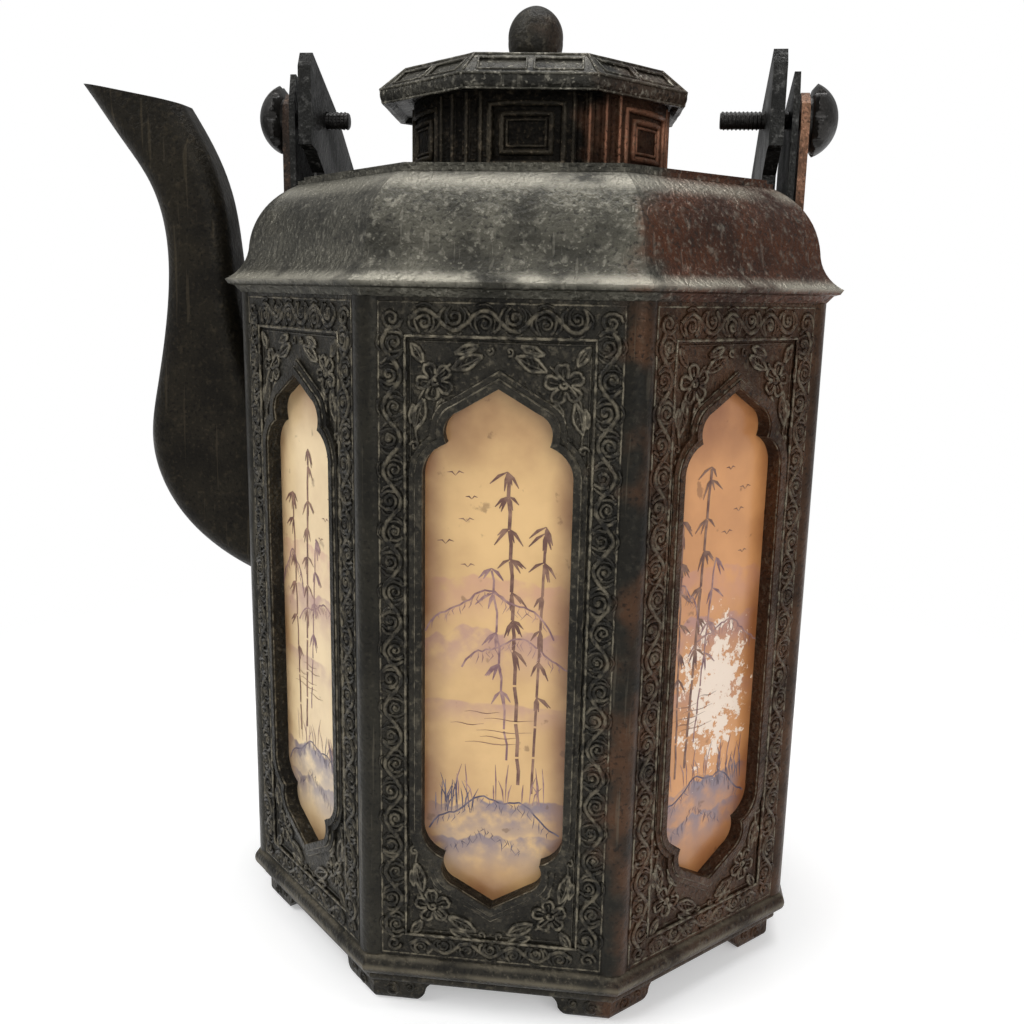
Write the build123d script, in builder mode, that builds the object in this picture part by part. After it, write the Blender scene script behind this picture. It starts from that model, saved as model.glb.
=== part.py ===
from build123d import *
from math import cos, radians, sin, tan
import os

os.makedirs("parts", exist_ok=True)

# Octagonal wine warming pot. The pot's axis is Z, the floor is z = 0 and the spout points to -X.
# Sizes are in millimetres. Octagons are given by their flat distance: from the axis to a flat side.
SIDES = 8
HALF_ANGLE = 180 / SIDES
SIDE_NAMES = ["front", "front_right", "right", "back_right", "back", "back_left", "left", "front_left"]
SPOUT_SIDE = "left"

# Body
BODY_FLAT = 73.0
BODY_BOTTOM = 14.5
BODY_TOP = 171.3
PANEL_THICK = 3.0
FIELD_DEPTH = 0.5
FIELD_WIDTH = 41.0
FIELD_BOTTOM = 20.6
FIELD_TOP = 163.1
POST_RADIUS = 4.2
POST_CENTRE = 75.0
SEAT_GAP = 0.03

# Cusped window, measured from its own centre
WINDOW_Z = 91.0
WINDOW_HALF_WIDTH = 16.6
WINDOW_STRAIGHT = 41.5
CUSP = (11.4, 49.3)
LOBE_POINT = (15.3, 46.4)
UPPER_LOBE_POINT = (11.7, 53.2)
UPPER_LOBE_END = (8.6, 56.4)
WINDOW_APEX = 61.4
FRAME_WIDTH = 2.9
FRAME_STEP = 1.5
FRAME_HIGH = 1.1
FRAME_LOW = 0.5

# Glass panes and the strips that hold them
PANE_WIDTH = 40.0
PANE_HEIGHT = 132.0
PANE_THICK = 1.6
STRIP_WIDTH = 4.0
STRIP_THICK = 0.8

# Base
BASE_BOTTOM = 6.0
FLOOR_BOTTOM = 9.5
FLOOR_THICK = 2.5
TORUS_FLAT = 74.6
TORUS_MIDDLE = 11.2
LIP_MIDDLE = 7.3
TORUS_BOTTOM = 8.6
LIP_FLAT = 72.2
FOOT_FLAT = 70.6
FOOT_THICK = 5.0
FOOT_LENGTH = 16.0
FOOT_TOE = 10.0
FOOT_CURVE = 3.2

# Shoulder, from the flange lip up to the top plate
LIP_TIP = (76.9, 174.5)
LIP_UNDER = (76.2, 173.4)
WAIST = (71.1, 183.0)
SHOULDER_TOP = (59.3, 198.3)
SHOULDER_WALL = 1.8
PLATE_TOP = 200.2
PLATE_FLAT = 58.0

# Neck, water insert and lid
NECK_RADIUS = 33.8
NECK_BORE = 31.2
NECK_TOP = 220.0
LEDGE_Z = 218.8
LEDGE_RADIUS = 33.0
NECK_PANELS = 6
NECK_PANEL_HALF_ANGLE = 16.5
NECK_RECESS = 0.8
FLUTE_ANGLES = (22.5, 30.0, 37.5)
FLUTE_HALF_ANGLE = 2.0
LINER_RADIUS = 62.0
LINER_WALL = 1.2
LINER_SHOULDER = 186.0
INSERT_RADIUS = 30.7
INSERT_WALL = 1.2
INSERT_BOTTOM = 70.0
INSERT_TOP = 220.2
INSERT_RIM = 32.6
LID_TURN = 4.5
LID_SHIFT = -1.8
LID_FLAT = 38.6
LID_TOP_FLAT = 32.4
LID_UNDER_FLAT = 35.8
LID_TOP = 227.6
LID_SLOPE_DROP = 5.4
LID_RIM_BOTTOM = 218.8
LID_SKIRT_RADIUS = 27.6
LID_SKIRT_BOTTOM = 212.0
KNOB_RADIUS = 7.2
KNOB_TOP = 246.0
KNOB_HOLE = 2.5
CROWN_FLAT = 0.8

# Handle ears and their screws
SCREW_Z = 217.5
SCREW_RADIUS = 2.4
SCREW_CLEARANCE = 0.05
SCREW_ENDS = {"right": 47.3, "left": 52.7}
CHEEK_X = (58.7, 62.2)
LEAF_X = (64.6, 66.2)
STRAP_X = (67.3, 69.5)
WASHER_THICK = 0.8
WASHER_RADIUS = 6.0
HEAD_RADIUS = 9.0
HEAD_HEIGHT = 7.0
HEAD_LOBES = 8

# Spout, as seen from the side: its outer and inner curves run a little past the mouth, which cuts them
SPOUT_WALL = 1.2
SPOUT_ROOT_X = 60.0
SPOUT_START_X = 74.5
SPOUT_ROOT_Z = (88.6, 136.5)
SPOUT_ROOT_WIDTH = 24.0
SPOUT_OUTER = [(-74.5, 88.6), (-84.0, 92.6), (-95.6, 100.0), (-105.2, 110.8), (-110.9, 127.0), (-109.2, 143.0),
               (-105.6, 163.0), (-104.5, 181.0), (-107.9, 198.0), (-116.2, 211.0), (-127.6, 226.8), (-134.2, 235.2)]
SPOUT_INNER = [(-105.4, 232.5), (-98.9, 221.4), (-92.5, 210.0), (-87.9, 197.0), (-85.9, 182.0), (-84.3, 167.0),
               (-81.2, 152.0), (-74.5, 136.5)]
SPOUT_HALF_WIDTHS = ((12.6, 80.0), (7.6, 240.0))
SPOUT_ROUND = 6.0


def side_plane(angle, distance):
    """Plane of an octagon side: x runs to the right seen from outside, y runs up, z points outwards."""
    a = radians(angle)
    out = Vector(sin(a), -cos(a), 0)
    return Plane(origin=out * distance, x_dir=(cos(a), sin(a), 0), z_dir=out)


def radial_plane(angle=0):
    """Upright plane through the axis: x runs outwards along a side's normal, y runs up."""
    a = radians(angle)
    return Plane(origin=(0, 0, 0), x_dir=(sin(a), -cos(a), 0), z_dir=(-cos(a), -sin(a), 0))


def keep_one_side():
    """Trims the part in work to one eighth of the octagon, about the front side."""
    for sign in (-1, 1):
        a = radians(sign * HALF_ANGLE)
        inwards = Vector(-sign * cos(a), -sign * sin(a), 0)
        split(bisect_by=Plane(origin=(0, 0, 0), z_dir=inwards), keep=Keep.TOP)


def finish(part, name):
    part.label = name
    export_step(part, f"parts/{name}.step")


def side_angle(index):
    return index * 360 / SIDES


# Outline of the window: straight jambs, a round lobe, a cusp, a second lobe and a pointed head
with BuildSketch() as window:
    with BuildLine() as window_edge:
        Line((WINDOW_HALF_WIDTH, 0), (WINDOW_HALF_WIDTH, WINDOW_STRAIGHT))
        ThreePointArc((WINDOW_HALF_WIDTH, WINDOW_STRAIGHT), LOBE_POINT, CUSP)
        ThreePointArc(CUSP, UPPER_LOBE_POINT, UPPER_LOBE_END)
        Line(UPPER_LOBE_END, (0, WINDOW_APEX))
        mirror(about=Plane.YZ)
        mirror(about=Plane.XZ)
    make_face()

with BuildSketch() as frame_outer:
    add(window.sketch)
    offset(amount=FRAME_WIDTH, kind=Kind.INTERSECTION)

with BuildSketch() as frame_inner:
    add(window.sketch)
    offset(amount=FRAME_STEP, kind=Kind.INTERSECTION)

# Side panels, panes and their strips
field_height = FIELD_TOP - FIELD_BOTTOM
field_z = (FIELD_TOP + FIELD_BOTTOM) / 2
body_height = BODY_TOP - BODY_BOTTOM
post_offset = POST_CENTRE * sin(radians(HALF_ANGLE))
panel_back = BODY_FLAT - PANEL_THICK
field_face = BODY_FLAT - FIELD_DEPTH

for index, side in enumerate(SIDE_NAMES):
    angle = side_angle(index)
    with BuildPart() as panel:
        with BuildSketch(side_plane(angle, panel_back)):
            with Locations((0, BODY_BOTTOM + body_height / 2)):
                Rectangle(2 * post_offset, body_height)
        extrude(amount=PANEL_THICK)
        with BuildSketch(side_plane(angle, field_face)):
            with Locations((0, field_z)):
                Rectangle(FIELD_WIDTH, field_height)
        extrude(amount=FIELD_DEPTH, mode=Mode.SUBTRACT)
        if side == SPOUT_SIDE:
            with BuildSketch(side_plane(angle, panel_back)):
                with Locations((0, sum(SPOUT_ROOT_Z) / 2)):
                    Ellipse(SPOUT_ROOT_WIDTH / 2 + SEAT_GAP,
                            (SPOUT_ROOT_Z[1] - SPOUT_ROOT_Z[0]) / 2 + SEAT_GAP)
            extrude(amount=PANEL_THICK, mode=Mode.SUBTRACT)
        else:
            with BuildSketch(side_plane(angle, field_face)):
                with Locations((0, WINDOW_Z)):
                    add(frame_outer.sketch)
            extrude(amount=FIELD_DEPTH + FRAME_LOW)
            with BuildSketch(side_plane(angle, field_face)):
                with Locations((0, WINDOW_Z)):
                    add(frame_inner.sketch)
            extrude(amount=FIELD_DEPTH + FRAME_HIGH)
            with BuildSketch(side_plane(angle, panel_back)):
                with Locations((0, WINDOW_Z)):
                    add(window.sketch)
            extrude(amount=PANEL_THICK + FRAME_HIGH, mode=Mode.SUBTRACT)
        with BuildSketch(Plane.XY.offset(BODY_BOTTOM)):
            with PolarLocations(POST_CENTRE, 2, start_angle=angle - 90 - HALF_ANGLE, angular_range=4 * HALF_ANGLE):
                Circle(POST_RADIUS + SEAT_GAP)
        extrude(amount=body_height, mode=Mode.SUBTRACT)
    finish(panel.part, f"panel_{side}")

    if side != SPOUT_SIDE:
        with BuildPart() as pane:
            with BuildSketch(side_plane(angle, panel_back - PANE_THICK)):
                with Locations((0, WINDOW_Z)):
                    RectangleRounded(PANE_WIDTH, PANE_HEIGHT, 1.0)
            extrude(amount=PANE_THICK)
        finish(pane.part, f"pane_{side}")

        with BuildPart() as strips:
            with BuildSketch(side_plane(angle, panel_back - PANE_THICK - STRIP_THICK)):
                with Locations((0, WINDOW_Z)):
                    with GridLocations(0, PANE_HEIGHT - STRIP_WIDTH, 1, 2):
                        Rectangle(PANE_WIDTH, STRIP_WIDTH)
            extrude(amount=STRIP_THICK)
        finish(strips.part, f"pane_strips_{side}")

# Round corner posts
for index in range(SIDES):
    a = radians(side_angle(index) + HALF_ANGLE)
    foot_of_post = Plane(origin=(POST_CENTRE * sin(a), -POST_CENTRE * cos(a), BODY_BOTTOM))
    with BuildPart() as post:
        with BuildSketch(foot_of_post):
            Circle(POST_RADIUS)
        extrude(amount=body_height)
    finish(post.part, f"corner_post_{index + 1}")

# Base: floor plate with a rounded moulding and a small lip under it
with BuildPart() as base_segment:
    with BuildSketch(radial_plane()):
        with BuildLine():
            Polyline((0, FLOOR_BOTTOM + FLOOR_THICK), (0, FLOOR_BOTTOM), (67.0, FLOOR_BOTTOM),
                     (67.0, BASE_BOTTOM), (LIP_FLAT - 1.2, BASE_BOTTOM))
            ThreePointArc((LIP_FLAT - 1.2, BASE_BOTTOM), (LIP_FLAT, LIP_MIDDLE), (LIP_FLAT - 0.7, TORUS_BOTTOM))
            ThreePointArc((LIP_FLAT - 0.7, TORUS_BOTTOM), (TORUS_FLAT, TORUS_MIDDLE), (BODY_FLAT + 0.4, BODY_BOTTOM - 0.4))
            Polyline((BODY_FLAT + 0.4, BODY_BOTTOM - 0.4), (BODY_FLAT - 0.2, BODY_BOTTOM), (68.2, BODY_BOTTOM),
                     (68.2, FLOOR_BOTTOM + FLOOR_THICK), (0, FLOOR_BOTTOM + FLOOR_THICK))
        make_face()
    extrude(amount=40, both=True)
    keep_one_side()

with BuildPart() as base:
    with PolarLocations(0, SIDES):
        add(base_segment.part)
finish(base.part, "base")

# Bracket feet, one at each corner: two curved wings that meet in a mitre
with BuildPart() as foot_wing:
    with BuildSketch(side_plane(0, FOOT_FLAT - FOOT_THICK)):
        corner_x = FOOT_FLAT * tan(radians(HALF_ANGLE))
        with BuildLine():
            Line((corner_x, 0), (corner_x, BASE_BOTTOM))
            Line((corner_x, BASE_BOTTOM), (corner_x - FOOT_LENGTH, BASE_BOTTOM))
            bracket = CenterArc((corner_x - FOOT_LENGTH, BASE_BOTTOM - FOOT_CURVE), FOOT_CURVE, 90, -90)
            ThreePointArc(bracket @ 1, (corner_x - FOOT_TOE - 1.8, 1.5), (corner_x - FOOT_TOE, 0))
            Line((corner_x - FOOT_TOE, 0), (corner_x, 0))
        make_face()
    extrude(amount=FOOT_THICK)
    outer_low_edge = foot_wing.edges().filter_by(Axis.X).group_by(Axis.Z)[0].sort_by(Axis.Y)[0]
    fillet(outer_low_edge, radius=2.2)
    split(bisect_by=Plane(origin=(0, 0, 0), z_dir=(-cos(radians(HALF_ANGLE)), -sin(radians(HALF_ANGLE)), 0)),
          keep=Keep.TOP)

with BuildPart() as foot_pattern:
    add(foot_wing.part)
    mirror(foot_wing.part, about=Plane(origin=(0, 0, 0), z_dir=(cos(radians(HALF_ANGLE)), sin(radians(HALF_ANGLE)), 0)))

for index in range(SIDES):
    with BuildPart() as foot:
        add(foot_pattern.part.rotate(Axis.Z, side_angle(index)))
    finish(foot.part, f"foot_{index + 1}")

# Shoulder: sharp flange lip, concave sweep, then a full round up to the top plate


def shoulder_outside():
    """Draws the outer curve of the shoulder, from the lip up to the top plate."""
    ThreePointArc(LIP_TIP, (72.7, 178.2), WAIST)
    ThreePointArc(WAIST, (67.6, 191.8), (61.0, 197.4))
    Line((61.0, 197.4), SHOULDER_TOP)


with BuildPart() as shoulder_segment:
    with BuildSketch(radial_plane()):
        with BuildLine():
            shoulder_outside()
            Polyline(SHOULDER_TOP, (57.0, SHOULDER_TOP[1]), (57.0, 196.4), (60.2, 195.7))
            ThreePointArc((60.2, 195.7), (66.1, 190.8), (WAIST[0] - SHOULDER_WALL, 183.0))
            Polyline((WAIST[0] - SHOULDER_WALL, 183.0), (68.6, BODY_TOP), (BODY_FLAT + 0.3, BODY_TOP),
                     (LIP_UNDER[0] - 1.4, 173.0), LIP_UNDER, LIP_TIP)
        make_face()
    extrude(amount=40, both=True)
    keep_one_side()

with BuildPart() as shoulder:
    with PolarLocations(0, SIDES):
        add(shoulder_segment.part)
finish(shoulder.part, "shoulder")

# Top plate with a stepped edge and the neck's opening
with BuildPart() as top_plate:
    with BuildSketch(Plane.XY.offset(SHOULDER_TOP[1])):
        RegularPolygon(SHOULDER_TOP[0] + 0.1, SIDES, major_radius=False, rotation=HALF_ANGLE)
    extrude(amount=0.9)
    with BuildSketch(Plane.XY.offset(SHOULDER_TOP[1] + 0.9)):
        RegularPolygon(PLATE_FLAT, SIDES, major_radius=False, rotation=HALF_ANGLE)
    extrude(amount=PLATE_TOP - SHOULDER_TOP[1] - 0.9)
    with BuildSketch(Plane.XY.offset(SHOULDER_TOP[1])):
        Circle(NECK_BORE)
    extrude(amount=PLATE_TOP - SHOULDER_TOP[1], mode=Mode.SUBTRACT)
finish(top_plate.part, "top_plate")

# Neck collar: six sunk panels parted by upright flutes, with a ledge inside its mouth
with BuildPart() as neck:
    with BuildSketch(Plane.XY.offset(PLATE_TOP)):
        Circle(NECK_RADIUS)
        Circle(NECK_BORE, mode=Mode.SUBTRACT)
    extrude(amount=NECK_TOP - PLATE_TOP)
    with BuildSketch(Plane.XY.offset(LEDGE_Z)):
        Circle(LEDGE_RADIUS)
    extrude(amount=NECK_TOP - LEDGE_Z, mode=Mode.SUBTRACT)
    panel_chord = 2 * NECK_RADIUS * sin(radians(NECK_PANEL_HALF_ANGLE))
    flute_chord = 2 * NECK_RADIUS * sin(radians(FLUTE_HALF_ANGLE))
    with BuildSketch(Plane.XY.offset(PLATE_TOP + 3.5)):
        Circle(NECK_RADIUS + 1)
        Circle(NECK_RADIUS - NECK_RECESS, mode=Mode.SUBTRACT)
        with PolarLocations(NECK_RADIUS, NECK_PANELS, start_angle=-90):
            Rectangle(8, panel_chord, mode=Mode.INTERSECT)
    extrude(amount=NECK_TOP - PLATE_TOP - 7.0, mode=Mode.SUBTRACT)
    for flute in FLUTE_ANGLES:
        with BuildSketch(Plane.XY.offset(PLATE_TOP + 1.6)):
            with PolarLocations(NECK_RADIUS + 0.5, NECK_PANELS, start_angle=flute - 90):
                Circle(flute_chord / 2)
        extrude(amount=NECK_TOP - PLATE_TOP - 3.0, mode=Mode.SUBTRACT)
finish(neck.part, "neck")

# Wine liner: the tank behind the panes, made of a wall, a floor and a roof that rises to the neck
liner_in = LINER_RADIUS - LINER_WALL
liner_floor_top = FLOOR_BOTTOM + FLOOR_THICK + LINER_WALL
roof_seat = LINER_SHOULDER - LINER_WALL
with BuildPart() as liner_floor:
    with BuildSketch(Plane.XY.offset(FLOOR_BOTTOM + FLOOR_THICK)):
        Circle(LINER_RADIUS)
    extrude(amount=LINER_WALL)
finish(liner_floor.part, "liner_floor")

with BuildPart() as liner_wall:
    with BuildSketch(Plane.XY.offset(liner_floor_top)):
        Circle(LINER_RADIUS)
        Circle(liner_in, mode=Mode.SUBTRACT)
    extrude(amount=roof_seat - liner_floor_top)
    with BuildSketch(side_plane(-90, SPOUT_ROOT_X - 4)):
        with Locations((0, sum(SPOUT_ROOT_Z) / 2)):
            Ellipse(SPOUT_ROOT_WIDTH / 2 + SEAT_GAP, (SPOUT_ROOT_Z[1] - SPOUT_ROOT_Z[0]) / 2 + SEAT_GAP)
    extrude(amount=10, mode=Mode.SUBTRACT)
finish(liner_wall.part, "liner_wall")

with BuildPart() as liner_roof:
    with BuildSketch(Plane.XZ):
        with BuildLine():
            Polyline((LINER_RADIUS, roof_seat), (LINER_RADIUS, LINER_SHOULDER), (NECK_BORE + 2, 197.3),
                     (NECK_BORE + 2, SHOULDER_TOP[1]), (NECK_BORE, SHOULDER_TOP[1]), (NECK_BORE, 196.6),
                     (liner_in - 1, roof_seat), close=True)
        make_face()
    revolve(axis=Axis.Z)
finish(liner_roof.part, "liner_roof")

# Water insert: a deep cup that hangs by its rim on the neck's ledge
insert_in = INSERT_RADIUS - INSERT_WALL
with BuildPart() as insert:
    with BuildSketch(Plane.XZ):
        with BuildLine():
            Polyline((0, INSERT_BOTTOM), (INSERT_RADIUS - 2, INSERT_BOTTOM))
            ThreePointArc((INSERT_RADIUS - 2, INSERT_BOTTOM), (INSERT_RADIUS - 0.6, INSERT_BOTTOM + 0.6),
                          (INSERT_RADIUS, INSERT_BOTTOM + 2))
            Polyline((INSERT_RADIUS, INSERT_BOTTOM + 2), (INSERT_RADIUS, LEDGE_Z), (INSERT_RIM, LEDGE_Z),
                     (INSERT_RIM, INSERT_TOP), (insert_in, INSERT_TOP), (insert_in, INSERT_BOTTOM + INSERT_WALL),
                     (0, INSERT_BOTTOM + INSERT_WALL), (0, INSERT_BOTTOM))
        make_face()
    revolve(axis=Axis.Z)
finish(insert.part, "water_insert")

# Lid: eight-sided, with a sloping edge cut by two sunk panels a side, and a skirt that fits the insert loosely
slope_run = LID_FLAT - LID_TOP_FLAT
slope_bottom = LID_TOP - LID_SLOPE_DROP
lid_place = Location((LID_SHIFT, 0, 0), (0, 0, LID_TURN))
with BuildPart() as lid_segment:
    with BuildSketch(radial_plane()):
        with BuildLine():
            Polyline((0, LID_TOP + 0.8), (LID_TOP_FLAT - 5, LID_TOP + 0.5), (LID_TOP_FLAT, LID_TOP),
                     (LID_FLAT, slope_bottom))
            ThreePointArc((LID_FLAT, slope_bottom), (LID_FLAT + 0.2, slope_bottom - 1.8),
                          (LID_FLAT - 0.7, LID_RIM_BOTTOM))
            Polyline((LID_FLAT - 0.7, LID_RIM_BOTTOM), (LID_UNDER_FLAT + 1.2, LID_RIM_BOTTOM),
                     (LID_UNDER_FLAT, INSERT_TOP), (0, INSERT_TOP), (0, LID_TOP + 0.8))
        make_face()
    extrude(amount=40, both=True)
    keep_one_side()
    slope = Vector(0, -LID_SLOPE_DROP, slope_run).normalized()
    slope_middle = Vector(0, -(LID_FLAT + LID_TOP_FLAT) / 2, (LID_TOP + slope_bottom) / 2)
    with BuildSketch(Plane(origin=slope_middle, x_dir=(1, 0, 0), z_dir=slope)):
        with GridLocations(13.2, 0, 2, 1):
            Rectangle(11.4, 4.8)
    extrude(amount=-0.4, mode=Mode.SUBTRACT)

with BuildPart() as lid:
    with PolarLocations(0, SIDES):
        add(lid_segment.part)
    with BuildSketch(Plane.XY.offset(INSERT_TOP)):
        Circle(LID_SKIRT_RADIUS)
    extrude(amount=LID_SKIRT_BOTTOM - INSERT_TOP)
    with BuildSketch(Plane.XY.offset(LID_SKIRT_BOTTOM)):
        Circle(LID_SKIRT_RADIUS - 1.4)
    extrude(amount=LID_TOP - 1.8 - LID_SKIRT_BOTTOM, mode=Mode.SUBTRACT)
    with BuildSketch(Plane.XY.offset(LID_TOP - 2)):
        Circle(KNOB_HOLE + SEAT_GAP)
    extrude(amount=4, mode=Mode.SUBTRACT)
finish(lid.part.moved(lid_place), "lid")

# Lid knob: an egg on a small stem, with a spigot through the lid
knob_seat = LID_TOP + 0.8
with BuildPart() as knob:
    with BuildSketch(Plane.XZ):
        with BuildLine():
            Polyline((0, LID_TOP - 1.6), (KNOB_HOLE, LID_TOP - 1.6), (KNOB_HOLE, knob_seat), (5.4, knob_seat),
                     (5.4, knob_seat + 1.0), (4.2, knob_seat + 2.0))
            ThreePointArc((4.2, knob_seat + 2.0), (6.5, 233.4), (KNOB_RADIUS, 237.4))
            ThreePointArc((KNOB_RADIUS, 237.4), (5.3, 243.4), (CROWN_FLAT, KNOB_TOP))
            Polyline((CROWN_FLAT, KNOB_TOP), (0, KNOB_TOP), (0, LID_TOP - 1.6))
        make_face()
    revolve(axis=Axis.Z)
finish(knob.part.moved(lid_place), "lid_knob")

# Spout: a hollow S-shaped shell with a slanted beak, and a root that passes the panel into the liner
mouth_tip = Vector(SPOUT_OUTER[-2][0], 0, SPOUT_OUTER[-2][1])
mouth_heel = Vector(SPOUT_INNER[1][0], 0, SPOUT_INNER[1][1])
mouth_plane = Plane(origin=mouth_heel, z_dir=(mouth_heel - mouth_tip).cross(Vector(0, 1, 0)))
root_height = SPOUT_ROOT_Z[1] - SPOUT_ROOT_Z[0]
root_z = sum(SPOUT_ROOT_Z) / 2
(wide_half, wide_z), (narrow_half, narrow_z) = SPOUT_HALF_WIDTHS



def inset_spline(curve, inset, steps):
    """A spline that runs beside the curve, to the right of its direction."""
    points = []
    for step in range(steps + 1):
        along = curve % (step / steps)
        points.append(curve @ (step / steps) + Vector(along.Y, -along.X) * inset)
    return Spline(*points)


outer_line = Spline(*SPOUT_OUTER)
inner_line = Spline(*SPOUT_INNER)
spout_shapes = []
for inset in (0, SPOUT_WALL):
    with BuildPart() as spout_shape:
        with BuildSketch(Plane.XZ):
            with BuildLine():
                outer_side = inset_spline(outer_line, inset, len(SPOUT_OUTER))
                inner_side = inset_spline(inner_line, inset, len(SPOUT_INNER))
                Line(outer_side @ 1, inner_side @ 0)
                Line(inner_side @ 1, outer_side @ 0)
            make_face()
        extrude(amount=wide_half * 2, both=True)
        with BuildSketch(Plane.YZ.offset(-150)):
            Polygon((-wide_half + inset, wide_z), (wide_half - inset, wide_z), (narrow_half - inset, narrow_z),
                    (-narrow_half + inset, narrow_z), align=None)
        extrude(amount=150, mode=Mode.INTERSECT)
        long_edges = spout_shape.edges().filter_by(lambda edge: edge.length > 60)
        fillet(long_edges, radius=SPOUT_ROUND - inset)
        with BuildSketch(side_plane(-90, SPOUT_ROOT_X)):
            with Locations((0, root_z)):
                Ellipse(SPOUT_ROOT_WIDTH / 2 - inset, root_height / 2 - inset)
        extrude(amount=SPOUT_START_X + inset - SPOUT_ROOT_X)
    spout_shapes.append(spout_shape.part)

with BuildPart() as spout:
    add(spout_shapes[0])
    add(spout_shapes[1], mode=Mode.SUBTRACT)
    split(bisect_by=mouth_plane, keep=Keep.BOTTOM)
finish(spout.part, "spout")

# Handle ears: three upright leaves a side, seated on the shoulder and bored for one screw
EAR_OUTLINES = {
    "ear_strap": [(-6.5, 180), (-6.5, 216), (-5.6, 221), (-2.5, 224), (2.5, 224), (5.6, 221), (6.5, 216), (6.5, 180)],
    "ear_leaf": [(-10.5, 188), (-10.5, 221.0), (-8.5, 228.0), (6.0, 221.5), (15.0, 207.0), (15.0, 188)],
    "ear_cheek": [(-3.0, 190), (-4.0, 203.5), (-11.0, 208.6), (-15.0, 209.5), (-14.5, 229.0), (-12.5, 232.5),
                  (8.0, 221.5), (27.0, 206.5), (31.0, 190)],
}
EAR_SPANS = {"ear_strap": STRAP_X, "ear_leaf": LEAF_X, "ear_cheek": CHEEK_X}

with BuildPart() as ear_seat:
    with BuildSketch(radial_plane(90)):
        with BuildLine():
            shoulder_outside()
            Polyline(SHOULDER_TOP, (0, SHOULDER_TOP[1]), (0, LIP_TIP[1]), LIP_TIP)
        make_face()
    extrude(amount=40, both=True)
    add(top_plate.part)

for name, outline in EAR_OUTLINES.items():
    low_x, high_x = EAR_SPANS[name]
    with BuildPart() as leaf:
        with BuildSketch(Plane.YZ.offset(low_x)):
            Polygon(*outline, align=None)
        extrude(amount=high_x - low_x)
        with BuildSketch(Plane.YZ.offset(low_x)):
            with Locations((0, SCREW_Z)):
                Circle(SCREW_RADIUS + SCREW_CLEARANCE)
        extrude(amount=high_x - low_x, mode=Mode.SUBTRACT)
        add(ear_seat.part, mode=Mode.SUBTRACT)
    finish(leaf.part, f"{name}_right")
    with BuildPart() as other_leaf:
        mirror(leaf.part, about=Plane.YZ)
    finish(other_leaf.part, f"{name}_left")

# Ear screws: a threaded shank with a lobed dome head, and a washer under it
head_foot = STRAP_X[1] + WASHER_THICK
with BuildPart() as washer:
    with BuildSketch(Plane.YZ.offset(STRAP_X[1])):
        with Locations((0, SCREW_Z)):
            Circle(WASHER_RADIUS)
            Circle(SCREW_RADIUS + SCREW_CLEARANCE, mode=Mode.SUBTRACT)
    extrude(amount=WASHER_THICK)
finish(washer.part, "screw_washer_right")

with BuildPart() as other_washer:
    mirror(washer.part, about=Plane.YZ)
finish(other_washer.part, "screw_washer_left")

for side, tip in SCREW_ENDS.items():
    with BuildPart() as screw:
        with BuildSketch(Plane.XY.offset(SCREW_Z)):
            with BuildLine():
                Polyline((tip, 0), (tip, SCREW_RADIUS - 0.5), (tip + 0.5, SCREW_RADIUS), (head_foot, SCREW_RADIUS),
                         (head_foot, HEAD_RADIUS - 1.5), (head_foot + 1.2, HEAD_RADIUS))
                ThreePointArc((head_foot + 1.2, HEAD_RADIUS), (head_foot + 5.4, 5.6),
                              (head_foot + HEAD_HEIGHT, CROWN_FLAT))
                Polyline((head_foot + HEAD_HEIGHT, CROWN_FLAT), (head_foot + HEAD_HEIGHT, 0), (tip, 0))
            make_face()
        revolve(axis=Axis(origin=(0, 0, SCREW_Z), direction=(1, 0, 0)))
        with BuildSketch(Plane.YZ.offset(head_foot)):
            with Locations((0, SCREW_Z)):
                with PolarLocations(HEAD_RADIUS + 0.7, HEAD_LOBES):
                    Circle(1.7)
        extrude(amount=HEAD_HEIGHT, mode=Mode.SUBTRACT)
    placed = screw.part if side == "right" else mirror(screw.part, about=Plane.YZ)
    finish(placed, f"ear_screw_{side}")
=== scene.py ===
import math
import random

import bpy
from mathutils import Matrix, Vector


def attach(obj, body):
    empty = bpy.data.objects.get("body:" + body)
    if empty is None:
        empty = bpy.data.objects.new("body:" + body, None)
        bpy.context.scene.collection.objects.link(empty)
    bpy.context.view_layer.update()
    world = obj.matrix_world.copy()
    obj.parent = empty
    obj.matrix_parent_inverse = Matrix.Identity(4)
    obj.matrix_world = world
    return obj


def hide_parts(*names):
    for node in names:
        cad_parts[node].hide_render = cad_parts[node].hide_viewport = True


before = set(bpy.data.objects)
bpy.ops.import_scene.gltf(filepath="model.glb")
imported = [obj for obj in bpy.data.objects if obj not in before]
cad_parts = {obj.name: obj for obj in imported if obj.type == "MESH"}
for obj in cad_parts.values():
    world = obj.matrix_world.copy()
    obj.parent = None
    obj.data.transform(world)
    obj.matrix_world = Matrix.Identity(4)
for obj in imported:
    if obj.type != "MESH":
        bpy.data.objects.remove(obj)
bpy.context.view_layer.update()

MM = 0.001
SIDES = ["front", "front_right", "right", "back_right", "back", "back_left", "left", "front_left"]
WINDOWED = [side for side in SIDES if side != "left"]

# Camera, fitted to the octagon's corners, in metres; LENS and SENSOR in millimetres
CAMERA_PLACE = Vector((0.0305, -0.2941, 0.1729))
CAMERA_LOOK = Vector((-0.1195, 0.971, -0.2072))
CAMERA_ROLL = 0.0193
LENS = 36.73
SENSOR = 36
NEAREST = 0.01

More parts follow.
